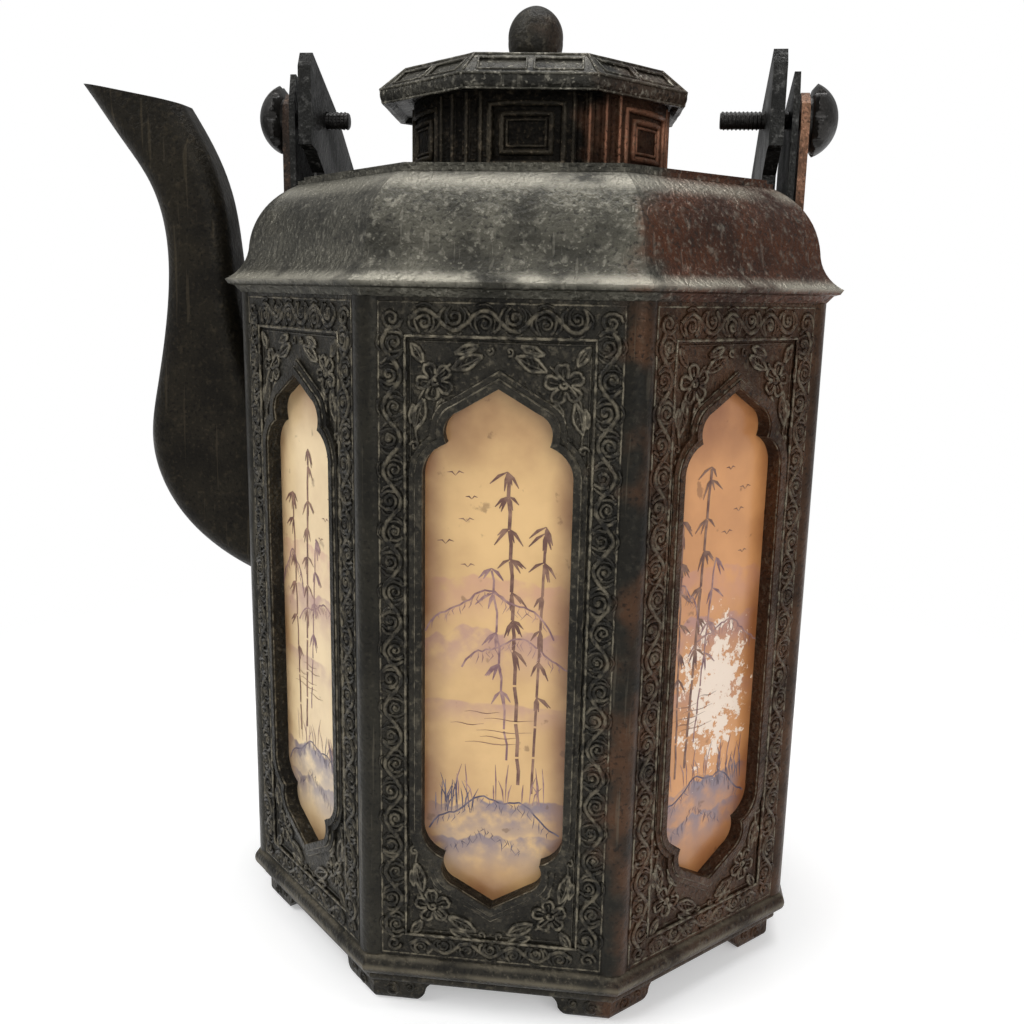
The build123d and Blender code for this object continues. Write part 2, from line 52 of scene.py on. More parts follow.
# Body, in millimetres from the axis and the floor
PANEL_FACE = 73.0
FIELD_FACE = 72.5
FIELD_HALF = 20.5
FIELD_LOW, FIELD_HIGH = 20.6, 163.1
BAND_EDGE = 26.3
BAND_LOW, BAND_HIGH = 15.3, 170.2
WINDOW_Z = 91.0
PANE_FACE = 70.0
WINDOW_STRAIGHT = 41.5
WINDOW_CUSP = 49.3
NECK_RADIUS = 33.8
NECK_LOW, NECK_HIGH = 200.2, 220.0
SCREW_Z = 217.5

# Half the length of an octagon's side, for each unit of its distance from the axis
CORNER = math.tan(math.radians(22.5))

# Raised lines: radii and how far their points stray, in millimetres, and the seeds of the random draws
SCROLL_WIRE, SPRAY_WIRE, LINE_WIRE, NECK_WIRE, LID_WIRE, CURL_WIRE = 0.58, 0.52, 0.34, 0.42, 0.34, 0.40
SCROLL_WOBBLE, SPRAY_WOBBLE, LID_WOBBLE = 0.11, 0.09, 0.12
SCROLL_SEED, SPRAY_SEED, LID_SEED, PAINTING_SEED = 40, 60, 8, 700

# Cast metal: cells of its noises for each metre, and the depth of its bump in metres
MOTTLES, SPECKS, GRAIN, STREAKS = 85, 520, 1150.0, 620
BUMP_DEPTH = 0.0009

# A pane's brown rim, in metres across and up: where it starts and where it is full
RIM_SIDE, RIM_HEAD, RIM_FOOT = (0.0100, 0.0168), (0.129, 0.150), (0.045, 0.029)
GLASS_BUMP_DEPTH = 0.0003


def side_spin(index):
    return Matrix.Rotation(math.radians(index * 45), 4, "Z")


def onto_side(x, z, face=PANEL_FACE):
    """A point on the front side, from millimetres to metres: x to the right, z up, face from the axis."""
    return Vector((x, -face, z)) * MM


# Materials


def new_material(name):
    mat = bpy.data.materials.new(name)
    mat.use_nodes = True
    tree = mat.node_tree
    return mat, tree.nodes, tree.links, tree.nodes["Principled BSDF"]


def object_noise(nodes, links, scale, detail=4.0, stretch=(1, 1, 1)):
    place = nodes.new("ShaderNodeTexCoord")
    mapping = nodes.new("ShaderNodeMapping")
    mapping.inputs["Scale"].default_value = stretch
    noise = nodes.new("ShaderNodeTexNoise")
    noise.inputs["Scale"].default_value = scale
    noise.inputs["Detail"].default_value = detail
    links.new(place.outputs["Object"], mapping.inputs["Vector"])
    links.new(mapping.outputs["Vector"], noise.inputs["Vector"])
    return noise


def ramp(nodes, links, source, stops):
    node = nodes.new("ShaderNodeValToRGB")
    spots = node.color_ramp.elements
    while len(spots) < len(stops):
        spots.new(0.5)
    for spot, (place, colour) in zip(spots, stops):
        spot.position = place
        spot.color = (*colour, 1)
    links.new(source, node.inputs["Fac"])
    return node


def mix_colour(nodes, links, factor, first, second):
    node = nodes.new("ShaderNodeMix")
    node.data_type = "RGBA"
    for socket, value in ((node.inputs[0], factor), (node.inputs[6], first), (node.inputs[7], second)):
        if isinstance(value, bpy.types.NodeSocket):
            links.new(value, socket)
        elif isinstance(value, (int, float)):
            socket.default_value = value
        else:
            socket.default_value = (*value, 1)
    return node.outputs[2]


def math_node(nodes, links, operation, first, second=0.0, clamp=False):
    node = nodes.new("ShaderNodeMath")
    node.operation = operation
    node.use_clamp = clamp
    for socket, value in ((node.inputs[0], first), (node.inputs[1], second)):
        if isinstance(value, bpy.types.NodeSocket):
            links.new(value, socket)
        else:
            socket.default_value = value
    return node.outputs[0]


def object_axis(nodes, links, axis):
    place = nodes.new("ShaderNodeTexCoord")
    split = nodes.new("ShaderNodeSeparateXYZ")
    links.new(place.outputs["Object"], split.inputs[0])
    return split.outputs[axis]


def octagon_reach(nodes, links):
    """How far a point stands out from the axis, measured square to its own side of the octagon."""
    across = math_node(nodes, links, "ABSOLUTE", object_axis(nodes, links, "X"))
    away = math_node(nodes, links, "ABSOLUTE", object_axis(nodes, links, "Y"))
    both = math_node(nodes, links, "MULTIPLY", math_node(nodes, links, "ADD", across, away), math.sqrt(0.5))
    straight = math_node(nodes, links, "MAXIMUM", across, away)
    return math_node(nodes, links, "MAXIMUM", straight, both)


def smooth_step(nodes, links, source, start, end):
    """0 at start and 1 at end, in the source's own units."""
    node = nodes.new("ShaderNodeMapRange")
    node.interpolation_type = "SMOOTHSTEP"
    node.inputs["From Min"].default_value = start
    node.inputs["From Max"].default_value = end
    links.new(source, node.inputs["Value"])
    return node.outputs[0]


def bump_on(nodes, links, shader, heights, strength, depth):
    """Bump from the sum of (height, weight) pairs, depth in metres."""
    total = 0.0
    for height, weight in heights:
        term = math_node(nodes, links, "MULTIPLY", height, weight)
        total = math_node(nodes, links, "ADD", term, total)
    bump = nodes.new("ShaderNodeBump")
    bump.inputs["Strength"].default_value = strength
    bump.inputs["Distance"].default_value = depth
    links.new(total, bump.inputs["Height"])
    links.new(bump.outputs["Normal"], shader.inputs["Normal"])


def patina(name, deep, worn, rubbed_and_highlight=None, wear=0.5, rough=(0.40, 0.62), grain=0.3, grain_scale=GRAIN,
           metallic=0.5, gloss=0.35, scratches=0.0, copper=None, copper_amount=0.0, copper_from=0.0,
           crest=None, bands=()):
    """Aged cast metal: a dark skin in mottles from deep to worn, with worn specks and a pitted cast grain.

    copper colours the side beyond copper_from, in metres across. crest is (low, high, amount): lighter tops
    between two distances from the axis, partly wear and partly painted highlight. bands are (low, peak, high,
    amount): lighter rings by height, painted highlights along rolls and edges.
    The distances of crest and bands are in millimetres.
    """
    mat, nodes, links, shader = new_material(name)
    rubbed_and_highlight = rubbed_and_highlight or [min(1, c * 2.6) for c in worn]
    mottle = object_noise(nodes, links, MOTTLES, 8).outputs["Fac"]
    specks = object_noise(nodes, links, SPECKS, 6).outputs["Fac"]
    fine = object_noise(nodes, links, grain_scale, 4).outputs["Fac"]
    tone = ramp(nodes, links, mottle, [(0.36, deep), (0.66, worn)]).outputs["Color"]
    if copper:
        drift = math_node(nodes, links, "MULTIPLY_ADD", mottle, 0.03)
        drift.node.inputs[2].default_value = -0.015
        place = math_node(nodes, links, "ADD", object_axis(nodes, links, "X"), drift)
        side = smooth_step(nodes, links, place, copper_from - 0.003, copper_from + 0.006)
        amount = math_node(nodes, links, "MULTIPLY", side, copper_amount)
        tint = smooth_step(nodes, links, mottle, 0.32, 0.68)
        warm = mix_colour(nodes, links, tint, [c * 0.42 for c in copper], copper)
        tone = mix_colour(nodes, links, amount, tone, warm)
    rub = math_node(nodes, links, "MULTIPLY", smooth_step(nodes, links, specks, 0.53, 0.74), wear)
    tone = mix_colour(nodes, links, rub, tone, rubbed_and_highlight)
    pits = math_node(nodes, links, "MULTIPLY", smooth_step(nodes, links, fine, 0.45, 0.32), 0.7)
    tone = mix_colour(nodes, links, pits, tone, [c * 0.35 for c in deep])
    flecks = math_node(nodes, links, "MULTIPLY", smooth_step(nodes, links, fine, 0.60, 0.70), wear)
    tone = mix_colour(nodes, links, flecks, tone, rubbed_and_highlight)
    # Lighter tops of raised relief: partly wear and partly painted highlight
    if crest:
        low, high, amount = crest
        height = smooth_step(nodes, links, octagon_reach(nodes, links), low * MM, high * MM)
        broken = smooth_step(nodes, links, specks, 0.38, 0.62)
        top = math_node(nodes, links, "MULTIPLY", math_node(nodes, links, "MULTIPLY", height, broken), amount)
        tone = mix_colour(nodes, links, top, tone, rubbed_and_highlight)
    # Lighter rings by height: painted highlights along rolls and edges, in the colour of wear
    for low, peak, high, amount in bands:
        height = object_axis(nodes, links, "Z")
        rise = smooth_step(nodes, links, height, low * MM, peak * MM)
        fall = smooth_step(nodes, links, height, high * MM, peak * MM)
        band = math_node(nodes, links, "MULTIPLY", math_node(nodes, links, "MULTIPLY", rise, fall), amount)
        broken = smooth_step(nodes, links, mottle, 0.30, 0.55)
        tone = mix_colour(nodes, links, math_node(nodes, links, "MULTIPLY", band, broken, True), tone, rubbed_and_highlight)
    heights = [(fine, 0.7), (specks, 0.6)]
    if scratches:
        streak = object_noise(nodes, links, STREAKS, 2, (1, 0.6, 0.05)).outputs["Fac"]
        line = smooth_step(nodes, links, streak, 0.64, 0.70)
        tone = mix_colour(nodes, links, math_node(nodes, links, "MULTIPLY", line, scratches), tone, rubbed_and_highlight)
        heights.append((line, -0.2))
    links.new(tone, shader.inputs["Base Color"])
    shader.inputs["Metallic"].default_value = metallic
    shader.inputs["Specular IOR Level"].default_value = gloss
    sheen = ramp(nodes, links, mottle, [(0.35, (rough[1],) * 3), (0.65, (rough[0],) * 3)])
    links.new(sheen.outputs["Color"], shader.inputs["Roughness"])
    bump_on(nodes, links, shader, heights, grain, BUMP_DEPTH)
    return mat


def wash_on(nodes, links, tone, across, height, stains, wash):
    """Lays one soft ridge of wash on a pane: sharp at its top edge, fading downwards."""
    base, swing, waves, depth, colour, strength = wash
    flow = nodes.new("ShaderNodeCombineXYZ")
    links.new(across, flow.inputs["X"])
    flow.inputs["Y"].default_value = base
    ridge_noise = nodes.new("ShaderNodeTexNoise")
    ridge_noise.inputs["Scale"].default_value = waves
    ridge_noise.inputs["Detail"].default_value = 3.0
    links.new(flow.outputs[0], ridge_noise.inputs["Vector"])
    lift = math_node(nodes, links, "MULTIPLY_ADD", ridge_noise.outputs["Fac"], swing)
    lift.node.inputs[2].default_value = base - swing / 2
    under = math_node(nodes, links, "SUBTRACT", lift, height)
    top = smooth_step(nodes, links, under, 0.0, 0.0006)
    fade = smooth_step(nodes, links, under, depth, 0.0)
    wet = smooth_step(nodes, links, stains, 0.25, 0.6)
    ridge = math_node(nodes, links, "MULTIPLY", top, fade)
    amount = math_node(nodes, links, "MULTIPLY", ridge, math_node(nodes, links, "MULTIPLY", wet, strength))
    return mix_colour(nodes, links, amount, tone, colour)


def flaked_off(nodes, links, across, height, flake):
    """1 where the paint has flaked off: a ragged patch, given as (across, high, half width, half height)."""
    centre, high, half_width, half_height = flake
    sideways = math_node(nodes, links, "SUBTRACT", across, centre)
    upright = math_node(nodes, links, "SUBTRACT", height, high)
    squares = []
    for offset, half in ((sideways, half_width), (upright, half_height)):
        share = math_node(nodes, links, "DIVIDE", math_node(nodes, links, "ABSOLUTE", offset), half)
        squares.append(math_node(nodes, links, "POWER", share, 2.0))
    far = math_node(nodes, links, "ADD", *squares)
    crumbs = object_noise(nodes, links, 330, 9)
    crumbs.inputs["Roughness"].default_value = 0.72
    fall = math_node(nodes, links, "MULTIPLY", far, 0.16)
    level = math_node(nodes, links, "SUBTRACT", crumbs.outputs["Fac"], fall)
    return smooth_step(nodes, links, level, 0.40, 0.415)


def painted_glass(name, spin, paper, edge, washes, flake=None):
    """Painted glass: warm paper colour, a brown rim, soft ridges of wash, and on one pane flaked paint."""
    mat, nodes, links, shader = new_material(name)
    place = nodes.new("ShaderNodeTexCoord")
    mapping = nodes.new("ShaderNodeMapping")
    mapping.inputs["Rotation"].default_value = (0, 0, -spin)
    split = nodes.new("ShaderNodeSeparateXYZ")
    links.new(place.outputs["Object"], mapping.inputs["Vector"])
    links.new(mapping.outputs["Vector"], split.inputs[0])
    across, height = split.outputs["X"], split.outputs["Z"]
    clouds = object_noise(nodes, links, 62, 7).outputs["Fac"]
    stains = object_noise(nodes, links, 210, 6).outputs["Fac"]
    cloudy = smooth_step(nodes, links, clouds, 0.30, 0.72)
    tone = mix_colour(nodes, links, math_node(nodes, links, "MULTIPLY", cloudy, 0.32), paper, edge)
    for wash in washes:
        tone = wash_on(nodes, links, tone, across, height, stains, wash)
    rim = smooth_step(nodes, links, math_node(nodes, links, "ABSOLUTE", across), *RIM_SIDE)
    head = smooth_step(nodes, links, height, *RIM_HEAD)
    foot = smooth_step(nodes, links, height, *RIM_FOOT)
    around = math_node(nodes, links, "MAXIMUM", rim, math_node(nodes, links, "MAXIMUM", head, foot))
    ragged = math_node(nodes, links, "MULTIPLY_ADD", clouds, 1.9)
    ragged.node.inputs[2].default_value = -0.15
    tone = mix_colour(nodes, links, math_node(nodes, links, "MULTIPLY", around, ragged, True), tone, edge)
    spots = math_node(nodes, links, "MULTIPLY", smooth_step(nodes, links, stains, 0.66, 0.72), 0.5)
    tone = mix_colour(nodes, links, spots, tone, [c * 0.45 for c in edge])
    heights = [(clouds, 0.2)]
    if flake:
        bare = flaked_off(nodes, links, across, height, flake)
        tone = mix_colour(nodes, links, bare, tone, BARE_GLASS)
        heights.append((bare, 0.8))
    links.new(tone, shader.inputs["Base Color"])
    shader.inputs["Roughness"].default_value = 0.34
    shader.inputs["Coat Weight"].default_value = 0.2
    shader.inputs["Coat Roughness"].default_value = 0.15
    bump_on(nodes, links, shader, heights, 0.25, GLASS_BUMP_DEPTH)
    return mat


def ink(name, colour, faded):
    """Paint of a line, patchy between its full and its faded colour."""
    mat, nodes, links, shader = new_material(name)
    patches = object_noise(nodes, links, 420, 4)
    tone = ramp(nodes, links, patches.outputs["Fac"], [(0.38, colour), (0.66, faded)])
    links.new(tone.outputs["Color"], shader.inputs["Base Color"])
    shader.inputs["Roughness"].default_value = 0.45
    return mat


DARK_DEEP, DARK_WORN = (0.0075, 0.0065, 0.0042), (0.0230, 0.0198, 0.0132)
# Colour of worn specks on the body, and of the painted highlight rings on the base moulding
RUBBED_AND_HIGHLIGHT = (0.135, 0.116, 0.080)
WARM = (0.066, 0.029, 0.0125)
WARM_FROM, LID_WARM_FROM = 0.0275, 0.016

dark_pewter = patina("dark pewter", DARK_DEEP, DARK_WORN, RUBBED_AND_HIGHLIGHT, wear=0.36, grain=0.8,
                     copper=WARM, copper_amount=0.97, copper_from=WARM_FROM)
post_pewter = patina("smooth posts", (0.0095, 0.0085, 0.0058), (0.0215, 0.0192, 0.0130),
                     (0.090, 0.078, 0.056), wear=0.14, rough=(0.30, 0.46), grain=0.25, metallic=0.6,
                     scratches=0.4, copper=WARM, copper_amount=0.85, copper_from=WARM_FROM)
# The base moulding's two rings are painted highlights along its torus and upper edge
base_pewter = patina("base moulding", DARK_DEEP, DARK_WORN, RUBBED_AND_HIGHLIGHT, wear=0.36, grain=0.6,
                     copper=WARM, copper_amount=0.5, copper_from=WARM_FROM,
                     bands=((10.2, 11.4, 12.6, 0.7), (13.2, 14.1, 14.6, 0.5)))
# The scroll's tops are lighter: partly wear and partly painted highlight
relief_pewter = patina("rubbed relief", (0.0065, 0.0057, 0.0039), (0.0180, 0.0157, 0.0108),
                       (0.155, 0.134, 0.093), wear=0.30, rough=(0.28, 0.46), grain=0.6,
                       crest=(73.25, 73.65, 0.52), copper=WARM, copper_amount=0.92, copper_from=WARM_FROM)
# Sprays and beads: lighter than the scroll as painted light, with lighter tops that are partly wear and
# partly painted highlight
spray_pewter = patina("rubbed sprays", (0.0130, 0.0115, 0.0082), (0.037, 0.032, 0.0225),
                      (0.185, 0.162, 0.115), wear=0.45, rough=(0.28, 0.46), grain=0.6,
                      crest=(72.75, 73.12, 0.75), copper=WARM, copper_amount=0.92, copper_from=WARM_FROM)
# The shoulder's two rings are painted highlights along its lower lip and its top roll
shoulder_pewter = patina("worn shoulder", (0.026, 0.0245, 0.0180), (0.082, 0.077, 0.0585), (0.34, 0.32, 0.26),
                         wear=0.30, rough=(0.34, 0.52), grain=0.9, grain_scale=950, metallic=0.65, gloss=0.5,
                         scratches=0.15, copper=(0.074, 0.0215, 0.0060), copper_amount=0.97,
                         copper_from=0.031,
                         bands=((173.4, 175.0, 177.2, 0.85), (193.0, 196.0, 198.8, 0.60)))
spout_pewter = patina("spout", (0.0062, 0.0050, 0.0030), (0.0165, 0.0135, 0.0085), (0.085, 0.066, 0.040),
                      wear=0.18, rough=(0.38, 0.54), grain=0.35, gloss=0.2, scratches=0.22)
ear_pewter = patina("ear", (0.0055, 0.0054, 0.0049), (0.018, 0.0178, 0.016), (0.13, 0.128, 0.12),
                    wear=0.42, rough=(0.34, 0.54), grain=0.5, gloss=0.25, scratches=0.7)
neck_pewter = patina("neck", (0.0020, 0.0015, 0.0009), (0.0065, 0.0050, 0.0030), (0.105, 0.080, 0.052),
                     wear=0.22, grain=0.6, metallic=0.3, gloss=0.08,
                     copper=(0.062, 0.0270, 0.0140), copper_amount=0.75, copper_from=0.014)
# On the right side the frames turn bright copper: a painted highlight in copper colour
neck_relief = patina("neck frames", (0.0100, 0.0080, 0.0050), (0.034, 0.0275, 0.0180), (0.16, 0.125, 0.085),
                     wear=0.45, grain=0.5, gloss=0.2,
                     copper=(0.30, 0.135, 0.078), copper_amount=0.88, copper_from=0.015)
lid_pewter = patina("lid", (0.0090, 0.0083, 0.0060), (0.040, 0.0372, 0.0285), (0.30, 0.28, 0.225),
                    wear=0.46, rough=(0.34, 0.52), grain=0.9, grain_scale=850, scratches=0.15,
                    copper=WARM, copper_amount=0.5, copper_from=LID_WARM_FROM,
                    bands=((222.6, 226.2, 229.0, 0.12),))
lid_relief = patina("lid edges", (0.034, 0.032, 0.024), (0.095, 0.088, 0.068), (0.38, 0.355, 0.29),
                    wear=0.6, rough=(0.32, 0.48), grain=0.6,
                    copper=WARM, copper_amount=0.4, copper_from=LID_WARM_FROM)
knob_pewter = patina("knob", (0.0095, 0.0082, 0.0055), (0.026, 0.0225, 0.0155), (0.12, 0.105, 0.075),
                     wear=0.34, grain=0.6, grain_scale=850, copper=WARM, copper_amount=0.3)
inner_pewter = patina("inner pewter", (0.11, 0.11, 0.10), (0.2, 0.2, 0.19), wear=0.2)
copper_pewter = patina("copper strap", (0.060, 0.029, 0.016), (0.19, 0.095, 0.052), (0.36, 0.18, 0.11),
                       wear=0.6, grain=0.5, scratches=0.6)
rust_pewter = patina("rusty strap", (0.012, 0.0085, 0.0060), (0.036, 0.021, 0.0135), (0.12, 0.072, 0.045),
                     wear=0.5, grain=0.6, scratches=0.4)
black_steel = patina("black steel", (0.0075, 0.0070, 0.0062), (0.024, 0.022, 0.020), (0.09, 0.085, 0.08),
                     wear=0.3, rough=(0.3, 0.45), grain=0.2)

BARE_GLASS = (0.80, 0.66, 0.54)
MAUVE, BLUE_GREY, ROSE = (0.36, 0.195, 0.190), (0.17, 0.140, 0.180), (0.47, 0.225, 0.190)

# Washes: (height, swing of the ridge, waves for each metre, depth, colour, strength), in metres
HILLS = ((0.1085, 0.020, 60, 0.016, ROSE, 0.50), (0.0975, 0.016, 75, 0.015, MAUVE, 0.75),
         (0.0800, 0.006, 50, 0.008, MAUVE, 0.55), (0.0560, 0.017, 80, 0.016, BLUE_GREY, 0.95),
         (0.0470, 0.014, 95, 0.014, BLUE_GREY, 0.80))

# Panes: (paper, rim)
TAN = ((0.660, 0.430, 0.190), (0.240, 0.108, 0.042))
PALE = ((0.76, 0.585, 0.340), (0.33, 0.190, 0.088))
ORANGE = ((0.62, 0.290, 0.108), (0.25, 0.090, 0.030))
PANE_COLOURS = {"front": TAN, "front_right": ORANGE, "right": ORANGE, "back_right": TAN, "back": PALE,
                "back_left": TAN, "front_left": PALE}

# Flaked paint: (across, high, half width, half height), in metres
FLAKED = {"front_right": (0.0015, 0.078, 0.0125, 0.020)}
brown_ink = ink("brown ink", (0.115, 0.050, 0.036), (0.26, 0.145, 0.095))
mauve_ink = ink("mauve ink", (0.17, 0.085, 0.095), (0.36, 0.22, 0.19))
blue_ink = ink("blue ink", (0.055, 0.045, 0.080), (0.18, 0.14, 0.16))


def coat(names, material):
    for name in names:
        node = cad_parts[name]
        for slot in node.material_slots:
            slot.material = material


coat([f"panel_{side}" for side in SIDES] + [f"foot_{count}" for count in range(1, 9)], dark_pewter)
coat([f"corner_post_{count}" for count in range(1, 9)], post_pewter)
coat(["base"], base_pewter)
coat(["shoulder", "top_plate"], shoulder_pewter)
coat(["neck"], neck_pewter)
coat(["lid"], lid_pewter)
coat(["lid_knob"], knob_pewter)
coat(["spout"], spout_pewter)
coat([f"pane_strips_{side}" for side in WINDOWED], inner_pewter)
coat(["liner_floor", "liner_wall", "liner_roof", "water_insert"], inner_pewter)
coat([f"ear_{part}_{side}" for part in ("leaf", "cheek") for side in ("left", "right")], ear_pewter)
coat(["ear_strap_right"], copper_pewter)
coat(["ear_strap_left"], rust_pewter)
coat(["ear_screw_left", "ear_screw_right", "screw_washer_left", "screw_washer_right"], black_steel)
for index, side in enumerate(SIDES):
    if side in WINDOWED:
        pane_paint = painted_glass(f"painted glass, {side.replace('_', ' ')}", math.radians(index * 45),
                                   *PANE_COLOURS[side], HILLS, FLAKED.get(side))
        coat([f"pane_{side}"], pane_paint)


# Raised lines: strokes are lists of points drawn on the front side, then made one mesh


def select_alone(item):
    bpy.ops.object.select_all(action="DESELECT")
    item.select_set(True)
    bpy.context.view_layer.objects.active = item


def stroke_mesh(name, strokes, radius, material, roundness=1):
    """One mesh of round wires along the strokes, given as (points in metres, closed, thickness factor)."""
    data = bpy.data.curves.new(name, "CURVE")
    data.dimensions = "3D"
    data.bevel_depth = radius * MM
    data.bevel_resolution = roundness
    data.use_fill_caps = True
    for points, closed, factor in strokes:
        line = data.splines.new("POLY")
        line.points.add(len(points) - 1)
        line.use_cyclic_u = closed
        for index, point in enumerate(points):
            line.points[index].co = (*point, 1)
            line.points[index].radius = factor
    holder = bpy.data.objects.new(name, data)
    bpy.context.scene.collection.objects.link(holder)
    select_alone(holder)
    bpy.ops.object.convert(target="MESH")
    bpy.ops.object.shade_smooth()
    mesh = holder.data
    bpy.data.objects.remove(holder)
    mesh.name = name
    mesh.materials.clear()
    mesh.materials.append(material)
    return mesh


def place_mesh(name, mesh, body, turn=None):
    piece = bpy.data.objects.new(name, mesh.copy())
    if turn is not None:
        piece.data.transform(turn)
    bpy.context.scene.collection.objects.link(piece)
    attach(piece, body)


# Share of its radius that a curl loses as it winds in
WINDS_IN = 0.86


def spiral(centre, start_angle, radius, turns, hand, count=16):
    """A curl that winds inwards from radius, in the plane of a panel."""
    points = []
    for index in range(count + 1):
        t = index / count
        angle = start_angle + hand * t * turns * math.tau
        reach = radius * (1 - WINDS_IN * t)
        points.append((centre[0] + reach * math.cos(angle), centre[1] + reach * math.sin(angle)))
    return points


def swept(root, tip, bow, count=6):
    """A smooth bowed line from root to tip, bulging to its left by bow times its length."""
    root, tip = Vector(root), Vector(tip)
    run = tip - root
    across = Vector((-run.y, run.x))
    points = []
    for step in range(count + 1):
        points.append(root + run * (step / count) + across * bow * math.sin(math.pi * step / count))
    return points


# Offshoots in a bend of the scroll: (place along the bend, reach across, bow)
OFFSHOOTS = ((-0.44, 0.92, 0.22), (-0.26, 0.98, 0.16), (0.30, 0.96, -0.16), (0.46, 0.88, -0.22))
STEM_SWING = 0.74
STEM_POINTS = 8


def vine(start, end, half_width, pitch, rng, phase=0.0):
    """A running scroll: a waving stem, and in each bend a curl with an eye and offshoots."""
    strokes = []
    run = Vector(end) - Vector(start)
    along = run.normalized()
    across = Vector((-along.y, along.x))
    waves = max(2, round(run.length / pitch))
    step = run.length / waves

    def spot(distance, offset):
        return Vector(start) + along * distance + across * offset

    stem = []
    for index in range(waves * STEM_POINTS + 1):
        distance = index * step / STEM_POINTS
        stem.append(spot(distance, STEM_SWING * half_width * math.sin(math.pi * distance / step + phase)))
    strokes.append((stem, 1.15))
    for index in range(waves):
        hand = 1 if (index + round(phase / math.pi)) % 2 else -1
        middle = (index + 0.5) * step
        centre = spot(middle, hand * 0.22 * half_width)
        begin = math.atan2(along.y, along.x) + (math.pi * 0.9)
        curl = spiral(centre, begin, rng.uniform(0.56, 0.74) * half_width, rng.uniform(1.05, 1.45), hand)
        strokes.append((curl, rng.uniform(0.85, 1.15)))
        strokes.append((spiral(centre, begin, 0.16 * half_width, 0.9, hand, 5), 1.2))
        for place, reach, bow in OFFSHOOTS:
            root = spot(middle + place * step, -hand * rng.uniform(0.15, 0.45) * half_width)
            tip = spot(middle + place * rng.uniform(0.5, 0.75) * step, hand * reach * half_width)
            strokes.append((swept(root, tip, bow * hand), rng.uniform(0.6, 1.05)))
        before = spot(middle - 0.26 * step, -hand * 0.96 * half_width)
        after = spot(middle + 0.26 * step, -hand * 0.96 * half_width)
        strokes.append((swept(before, after, -hand * 0.2), 0.7))
    return strokes


def arc_through(first, middle, last, count):
    """Points on the circle through three points, from the first to the last by way of the middle one."""
    a, b, c = Vector(first), Vector(middle), Vector(last)
    squares = (a.length_squared, b.length_squared, c.length_squared)
    d = 2 * (a.x * (b.y - c.y) + b.x * (c.y - a.y) + c.x * (a.y - b.y))
    ux = (squares[0] * (b.y - c.y) + squares[1] * (c.y - a.y) + squares[2] * (a.y - b.y)) / d
    uy = (squares[0] * (c.x - b.x) + squares[1] * (a.x - c.x) + squares[2] * (b.x - a.x)) / d
    centre = Vector((ux, uy))
    start, end = (a - centre), (c - centre)
    sweep = start.angle_signed(end)
    via = start.angle_signed(b - centre)
    if sweep * via < 0:
        sweep -= math.copysign(math.tau, sweep)
    points = []
    for index in range(count + 1):
        turn = Matrix.Rotation(-sweep * index / count, 2)
        points.append(centre + turn @ start)
    return points


def window_outline(grow, count=7):
    """The cusped window's outline, moved outwards by grow, as points round the whole window."""
    half = 16.6 + grow
    lobe = Vector((15.3 + grow * 0.9, 46.4 + grow * 0.2))
    cusp = Vector((11.4 + grow * 0.72, WINDOW_CUSP + grow * 0.62))
    upper = Vector((11.7 + grow * 0.95, 53.2 + grow * 0.25))
    upper_end = Vector((8.6 + grow * 0.72, 56.4 + grow * 0.72))
    apex = 61.4 + grow * 1.30
    quarter = [Vector((half, 0)), Vector((half, 22)), Vector((half, WINDOW_STRAIGHT))]
    quarter += arc_through((half, WINDOW_STRAIGHT), lobe, cusp, count)[1:]
    quarter += arc_through(cusp, upper, upper_end, count)[1:]
    quarter.append(Vector((0, apex)))
    ring = quarter + [Vector((-p.x, p.y)) for p in reversed(quarter[:-1])]
    ring += [Vector((p.x, -p.y)) for p in reversed(ring[1:-1])]
    return ring


def flat(points, face, wobble=0.0, seed=0):
    """Lays panel points on the front side at a distance from the axis, each moved by up to wobble."""
    rng = random.Random(seed)
    return [onto_side(p[0] + rng.uniform(-wobble, wobble), p[1] + rng.uniform(-wobble, wobble), face)
            for p in points]


def rectangle(half, low, high, steps=10):
    """A rectangle as a ring of points, with steps of them on each edge."""
    corners = [(-half, low), (half, low), (half, high), (-half, high)]
    ring = []
    for index, corner in enumerate(corners):
        after = corners[(index + 1) % 4]
        for part in range(steps):
            t = part / steps
            ring.append((corner[0] + (after[0] - corner[0]) * t, corner[1] + (after[1] - corner[1]) * t))
    return ring


def closed_leaf(root, tip, width):
    """A pointed leaf: its two edges, its midrib and short veins."""
    root, tip = Vector(root), Vector(tip)
    bow = width / (tip - root).length / 2
    strokes = [(swept(root, tip, bow, 8), 1.0), (swept(root, tip, -bow, 8), 1.0)]
    strokes.append((swept(root, tip, 0.04), 0.7))
    run = tip - root
    across = Vector((-run.y, run.x)).normalized() * width * 0.36
    for place in (0.28, 0.46, 0.64):
        for hand in (-1, 1):
            vein_root = root + run * place
            strokes.append((swept(vein_root, vein_root + run * 0.13 + across * hand, 0.1 * hand, 4), 0.5))
    return strokes


def blossom(centre, size, turn):
    """An open flower: five lobed petals round a ring, each with a rib."""
    centre = Vector(centre)
    strokes = [(spiral(centre, turn, size * 0.24, 0.95, 1, 8), 1.0)]
    for count in range(5):
        angle = turn + count * math.tau / 5
        petal = []
        for step in range(9):
            t = step / 8
            swing = (t - 0.5) * 1.16
            notch = 1 - 0.10 * math.exp(-60 * (t - 0.5) ** 2)
            reach = size * (0.34 + 0.66 * math.sin(math.pi * t) ** 0.55) * notch
            petal.append(centre + Vector((math.cos(angle + swing), math.sin(angle + swing))) * reach)
        strokes.append((petal, 1.0))
        out = Vector((math.cos(angle), math.sin(angle)))
        strokes.append((swept(centre + out * size * 0.36, centre + out * size * 0.72, 0.1, 4), 0.6))
    return strokes


